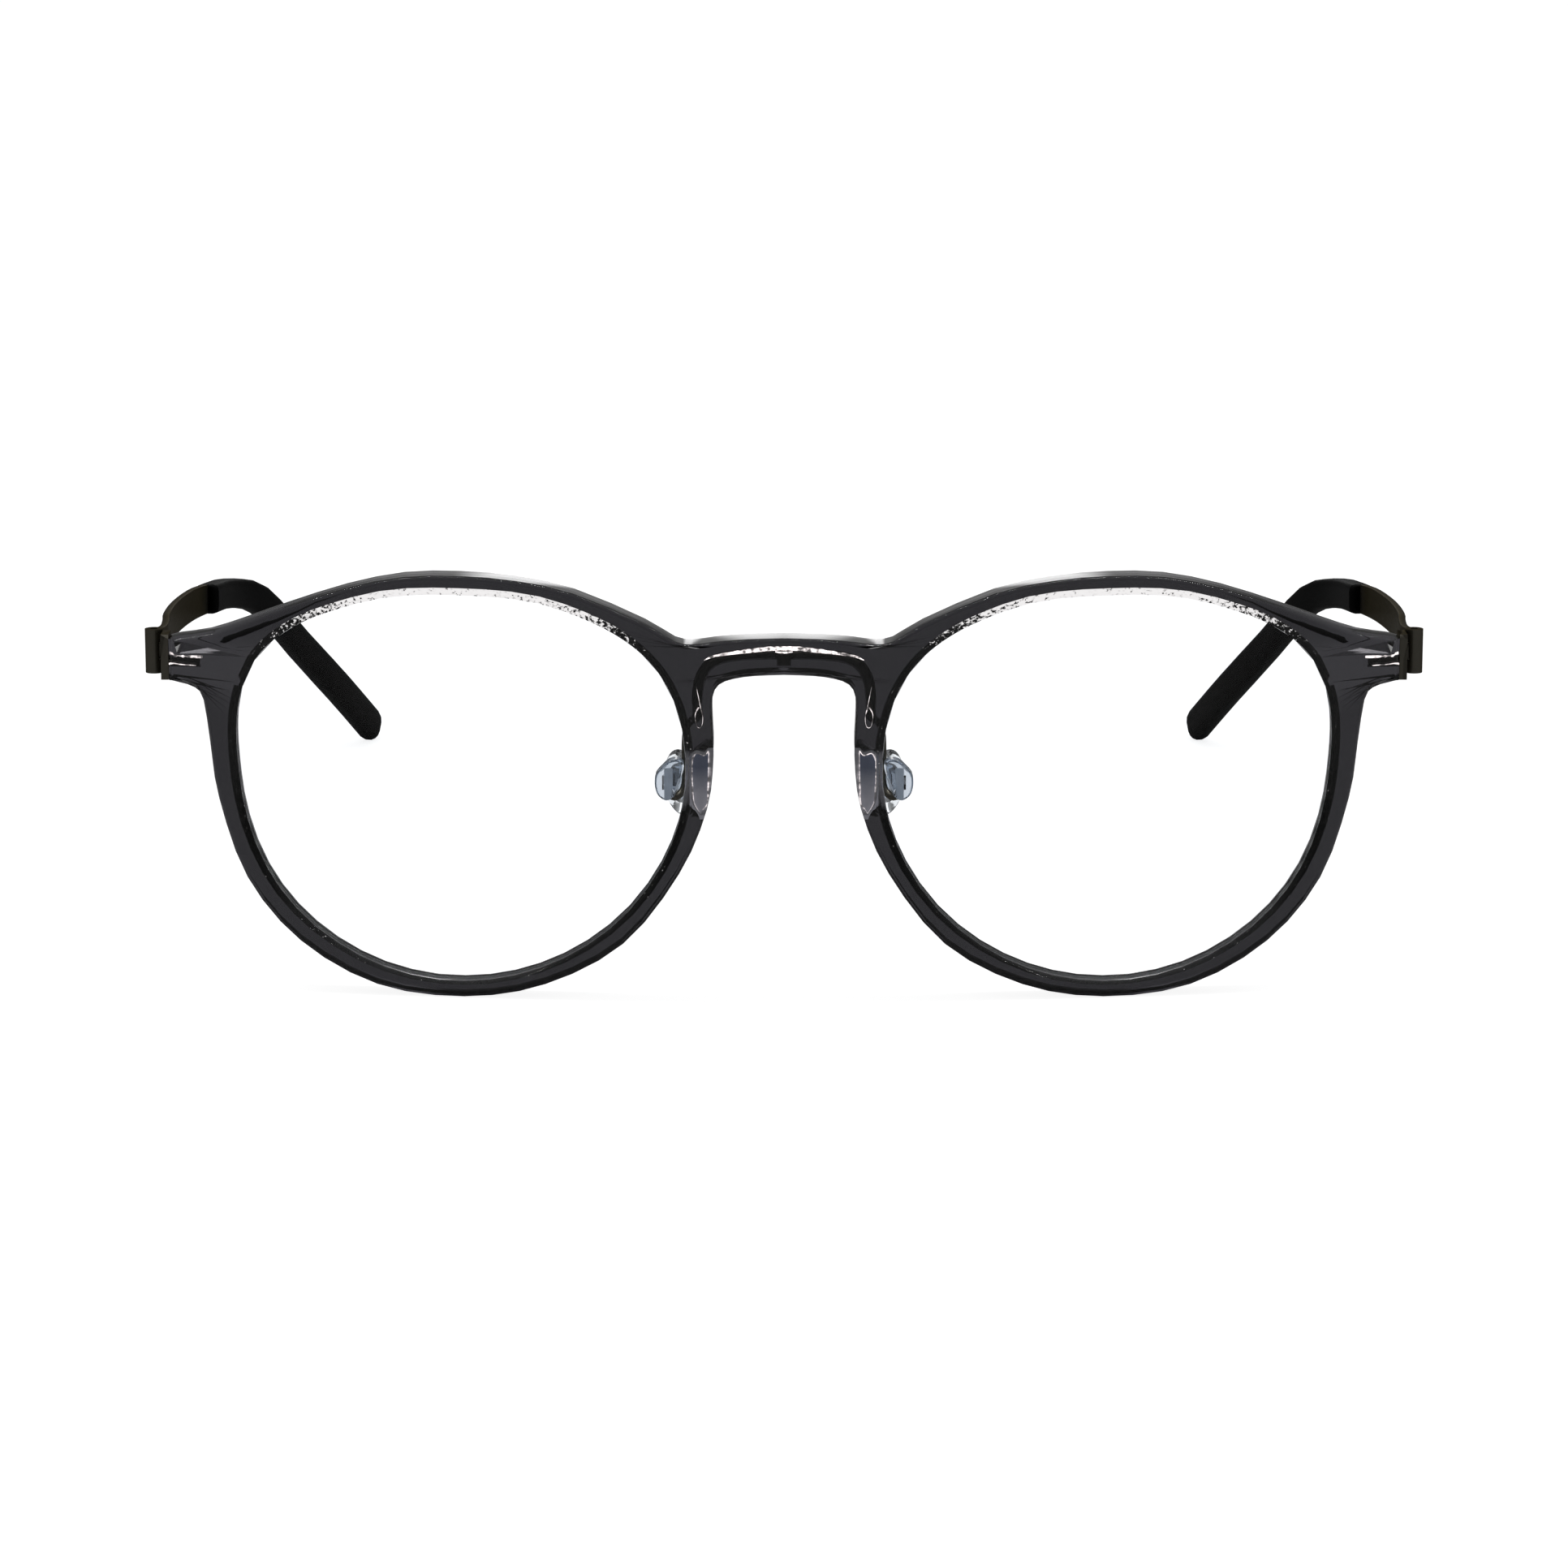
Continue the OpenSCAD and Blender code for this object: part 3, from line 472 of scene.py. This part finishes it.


# Painted highlight: a glowing thread for the air against the wavy top of the bridge core, from its end to
# the middle
BRIDGE_GLINT = [
    (8.7, 0.6, 38.3, 0.06), (7.96, 0.5, 38.7, 0.26), (7.3, 0.5, 38.84, 0.18), (6.6, 0.5, 38.98, 0.34),
    (5.84, 0.5, 39.06, 0.28), (5.2, 0.5, 39.2, 0.42), (4.69, 0.5, 39.22, 0.34), (4.1, 0.5, 39.34, 0.46),
    (3.54, 0.5, 39.35, 0.38), (2.9, 0.5, 39.48, 0.48), (2.3, 0.5, 39.51, 0.42), (1.7, 0.5, 39.6, 0.5),
    (1.15, 0.5, 39.6, 0.44), (0.5, 0.5, 39.66, 0.46), (0, 0.5, 39.64, 0.44)]
# Painted highlight for the air under the key in the middle of the core
KEY_GLINT = [
    (-0.95, 0.6, 39.25, 0.1), (-0.5, 0.6, 39.16, 0.22), (0.5, 0.6, 39.16, 0.22), (0.95, 0.6, 39.25, 0.1)]
# Painted highlights for the air beside the arm of the core where it runs down, and round the pocket where it
# turns back
ARM_GLINT = [
    (9.56, 0.9, 35.3, 0.02), (9.39, 0.9, 34.46, 0.06), (9.2, 0.9, 33.5, 0.04), (9.04, 0.9, 32.65, 0.07)]
POCKET_GLINT = [
    (9.3, 1.0, 33.0, 0.16), (9.66, 1.0, 32.5, 0.1), (9.72, 1.0, 31.9, 0.03), (9.62, 1.0, 31.3, 0.05),
    (9.5, 1.0, 30.8, 0.03), (9.2, 1.0, 30.68, 0.07), (8.98, 1.0, 30.9, 0.03), (8.86, 1.0, 31.5, 0.05),
    (8.88, 1.0, 32.2, 0.03), (9.05, 1.0, 32.7, 0.12)]
# Painted highlight: a pale glowing thread along the rounded corner between the floor and the walls of the
# milled hollow, once round
HOLLOW_CORNER_GLOW = [
    (9.15, 1.15, 20.95, 0.1), (9.7, 1.15, 21.7, 0.16), (10.02, 1.18, 22.5, 0.2), (10.05, 1.18, 24.5, 0.2),
    (10.05, 1.18, 26.5, 0.2), (10.0, 1.18, 27.6, 0.26), (9.65, 1.15, 28.1, 0.34), (9.1, 1.12, 27.9, 0.4),
    (8.65, 1.1, 27.75, 0.4), (8.35, 1.08, 28.1, 0.36), (8.14, 1.05, 28.5, 0.3), (8.16, 1.08, 27.3, 0.26),
    (8.2, 1.08, 25.5, 0.2), (8.3, 1.1, 24.0, 0.18), (8.48, 1.1, 22.8, 0.16), (8.75, 1.12, 21.6, 0.12),
    (9.15, 1.15, 20.95, 0.1)]
# The painted glint on that corner: about a fifth as wide, 0.15 mm nearer to the face and drawn in a
# little towards the hollow's middle
HOLLOW_X = 9.1
HOLLOW_Z = 24.5
HOLLOW_GLINT = [
    (x + (HOLLOW_X - x) * 0.1, deep - 0.15, z + (HOLLOW_Z - z) * 0.05, width * 0.22)
    for x, deep, z, width in HOLLOW_CORNER_GLOW]
# Painted highlights for the air along the barbs on top of the hinge prong, and along its underside
BARB_GLINT = [
    (67.62, 7.6, 37.75, 0.3), (67.4, 7.6, 37.72, 0.34), (67.2, 7.5, 37.56, 0.06), (66.99, 7.5, 37.46, 0.34),
    (66.7, 7.4, 37.5, 0.05), (66.4, 7.35, 37.48, 0.08), (66.17, 7.3, 37.46, 0.34), (65.9, 7.25, 37.48, 0.06),
    (65.62, 7.2, 37.46, 0.24), (64.8, 7.1, 37.44, 0.3), (63.98, 6.95, 37.47, 0.26)]
PRONG_GLINT = [
    (67.7, 7.6, 36.5, 0.22), (67.4, 7.55, 36.66, 0.12), (66.57, 7.4, 36.53, 0.1), (65.66, 7.25, 36.5, 0.12),
    (64.74, 7.1, 36.47, 0.08)]


def threads():
    """Glowing threads painted as highlights: the films of air against the metal inside the plastic, and the
    corner of each hollow.
    """
    left_and_right = (
        ("bridge_glint_", BRIDGE_GLINT, AIR_GLINT), ("arm_glint_", ARM_GLINT, AIR_GLINT), ("pocket_glint_", POCKET_GLINT, AIR_GLINT),
        ("hollow_corner_glow_", HOLLOW_CORNER_GLOW, MILLED_WALL), ("hollow_glint_", HOLLOW_GLINT, AIR_GLINT),
        ("barb_glint_", BARB_GLINT, AIR_GLINT), ("prong_glint_", PRONG_GLINT, AIR_GLINT))
    for side, sign in SIDES.items():
        for name, rows, material in left_and_right:
            thread(name + side, [(sign * x, deep, z, width) for x, deep, z, width in rows], material)
    thread("key_glint", KEY_GLINT)


def plain_copy(node, name, material, body, sharp=35):
    """A CAD node's own shape in one material, evenly shaded."""
    piece = finished(merged(node), name, material, sharp)
    stands_for(piece, node, body)


def boss(side):
    """The clear boss of a nose pad, with its front edge rounded and its bore and slot matte, with a painted
    glow.
    """
    middle = Vector((12.65 * SIDES[side] * MM, FACE_Y + 6.2 * MM, 23.9 * MM))
    half_width, half_depth, half_height = 1.6 * MM, 0.8 * MM, 2.35 * MM
    close = 0.01 * MM
    bm = merged("pad_core_" + side)
    bmesh.ops.dissolve_limit(bm, angle_limit=math.radians(1), verts=bm.verts, edges=bm.edges)
    # The rim lies between the front, which points forwards, and the side, which doesn't
    rim = [edge for edge in bm.edges if len(edge.link_faces) == 2
           and all(abs(vert.co.y - middle.y + half_depth) < close for vert in edge.verts)
           and min(face.normal.y for face in edge.link_faces) < -0.95
           and max(face.normal.y for face in edge.link_faces) > -0.5]
    bmesh.ops.bevel(bm, geom=rim, offset=0.28 * MM, offset_type="OFFSET", segments=3, profile=0.5,
                    affect="EDGES", clamp_overlap=True, material=-1)
    piece = finished(bm, "pad_boss_" + side, CARBONATE)
    piece.data.materials.append(CORED)
    for face in piece.data.polygons:
        away = face.center - middle
        # How much of the boss's area lies further in than this face. The bore and slot lie within
        # half of it, between the boss's front and back
        share = (away.x / half_width) ** 2 + (away.z / half_height) ** 2
        if abs(away.y) < half_depth - close and share < 0.5:
            face.material_index = 1
    stands_for(piece, "pad_core_" + side, "pad_" + side)


def keep(node, material):
    """Leaves a CAD node in place and gives it its material."""
    mesh = NODES[node].data
    mesh.materials.clear()
    mesh.materials.append(material)


front()
threads()
plain_copy("bridge_core", "bridge_core_wire", TITANIUM, "front_frame", 50)
for side in SIDES:
    body = "temple_" + side
    lens(side)
    plain_copy("hinge_leaf_" + side, "leaf_" + side, TITANIUM, "front_frame")
    keep("hinge_pin_" + side, TITANIUM)
    keep("hinge_washers_" + side, NYLON)
    plain_copy("temple_blade_" + side, "blade_" + side, TITANIUM, body)
    plain_copy("temple_sleeve_" + side, "sleeve_" + side, RUBBER, body, 50)
    plain_copy("nose_pad_" + side, "pad_" + side, SILICONE, "pad_" + side)
    boss(side)


# Floor, light and camera

def white_board():
    # White painted board: pale and matte. It is lifted to pure white for what is seen straight or
    # through clear things. What a surface mirrors of it isn't lifted, so dark gloss stays dark
    material, tree, _ = new_material("white_painted_board")
    lit = add(tree, "ShaderNodeBsdfDiffuse", Color=colour("#b4b4b4"))
    path = add(tree, "ShaderNodeLightPath")
    depths = {0: path.outputs["Ray Depth"], 1: path.outputs["Transmission Depth"]}
    mirrored = add(tree, "ShaderNodeMath", depths, operation="SUBTRACT")
    lift = add(tree, "ShaderNodeMapRange", {"Value": mirrored}, From_Min=0.0, From_Max=1.0,
               To_Min=0.9, To_Max=0.0)
    glow = add(tree, "ShaderNodeEmission", {"Strength": lift})
    both = add(tree, "ShaderNodeAddShader", {0: lit, 1: glow})
    add(tree, "ShaderNodeOutputMaterial", {"Surface": both})
    return material


def floor():
    """A floor 12 m across, a hair below what the object stands on."""
    bm = bmesh.new()
    bmesh.ops.create_grid(bm, x_segments=1, y_segments=1, size=6)
    mesh = bpy.data.meshes.new("floor")
    bm.to_mesh(mesh)
    bm.free()
    mesh.materials.append(white_board())
    piece = linked("floor", mesh)
    piece.location.z = -0.02 * MM


def world():
    """A dim studio. Low behind the object a screen, brightest in its middle, is what the upward
    faces mirror towards the camera."""
    sky = bpy.data.worlds.new("studio")
    bpy.context.scene.world = sky
    sky.use_nodes = True
    tree = sky.node_tree
    tree.nodes.clear()
    place = add(tree, "ShaderNodeTexCoord").outputs["Generated"]
    direction = add(tree, "ShaderNodeSeparateXYZ", {"Vector": place})
    across = add(tree, "ShaderNodeMath", {0: direction.outputs["X"]}, operation="ABSOLUTE")
    room = add(tree, "ShaderNodeMapRange", {"Value": direction.outputs["Z"]}, From_Min=0.0, From_Max=0.9,
               To_Min=0.1, To_Max=0.4)
    # Each step fades in from its first value to its second, up to its strength. The first two are
    # the screen's bright middle and dim sides, and the last two keep it behind the object and low
    steps = [(across, 0.06, 0.02, 2.0), (across, 0.22, 0.08, 0.3),
             (direction.outputs["Y"], 0.6, 0.9, 1.0), (direction.outputs["Z"], 0.55, 0.35, 1.0)]
    middle, sides, ahead, low = [
        add(tree, "ShaderNodeMapRange", {"Value": value}, interpolation_type="SMOOTHSTEP",
            From_Min=start, From_Max=end, To_Min=0.0, To_Max=strength)
        for value, start, end, strength in steps]
    screen = add(tree, "ShaderNodeMath", {0: middle, 1: sides}, operation="ADD")
    behind = add(tree, "ShaderNodeMath", {0: ahead, 1: low}, operation="MULTIPLY")
    level = add(tree, "ShaderNodeMath", {0: screen, 1: behind, 2: room}, operation="MULTIPLY_ADD")
    background = add(tree, "ShaderNodeBackground", {"Strength": level})
    add(tree, "ShaderNodeOutputWorld", {"Surface": background})


def lamp():
    """A strip lamp 1.2 m wide and 30 mm deep, 0.8 m above the front."""
    light = bpy.data.lights.new("strip_above", "AREA")
    light.shape = "RECTANGLE"
    light.size = 1.2
    light.size_y = 0.03
    light.energy = 2.3
    place = Vector((0, -0.05, 0.8))
    aim = Vector((0, -0.03, 0))
    piece = linked("strip_above", light)
    piece.location = place
    piece.rotation_euler = (aim - place).to_track_quat("-Z", "Y").to_euler()


def camera():
    """The photograph's view: from 600 mm away and 12.3 degrees above the front."""
    tilt = math.radians(12.3)
    away = 600 * MM
    aim_z = 24.6 * MM
    data = bpy.data.cameras.new("camera")
    # A focal length of 125.9 mm on a sensor 36 mm wide, fitted to the photograph
    data.lens = 125.9
    data.sensor_width = 36
    data.clip_start = 0.05
    piece = linked("camera", data)
    piece.location = (0, FACE_Y - away * math.cos(tilt), aim_z + away * math.sin(tilt))
    piece.rotation_euler = (math.pi / 2 - tilt, 0, 0)
    bpy.context.scene.camera = piece


floor()
world()
lamp()
camera()

bpy.context.scene.view_settings.view_transform = "Standard"
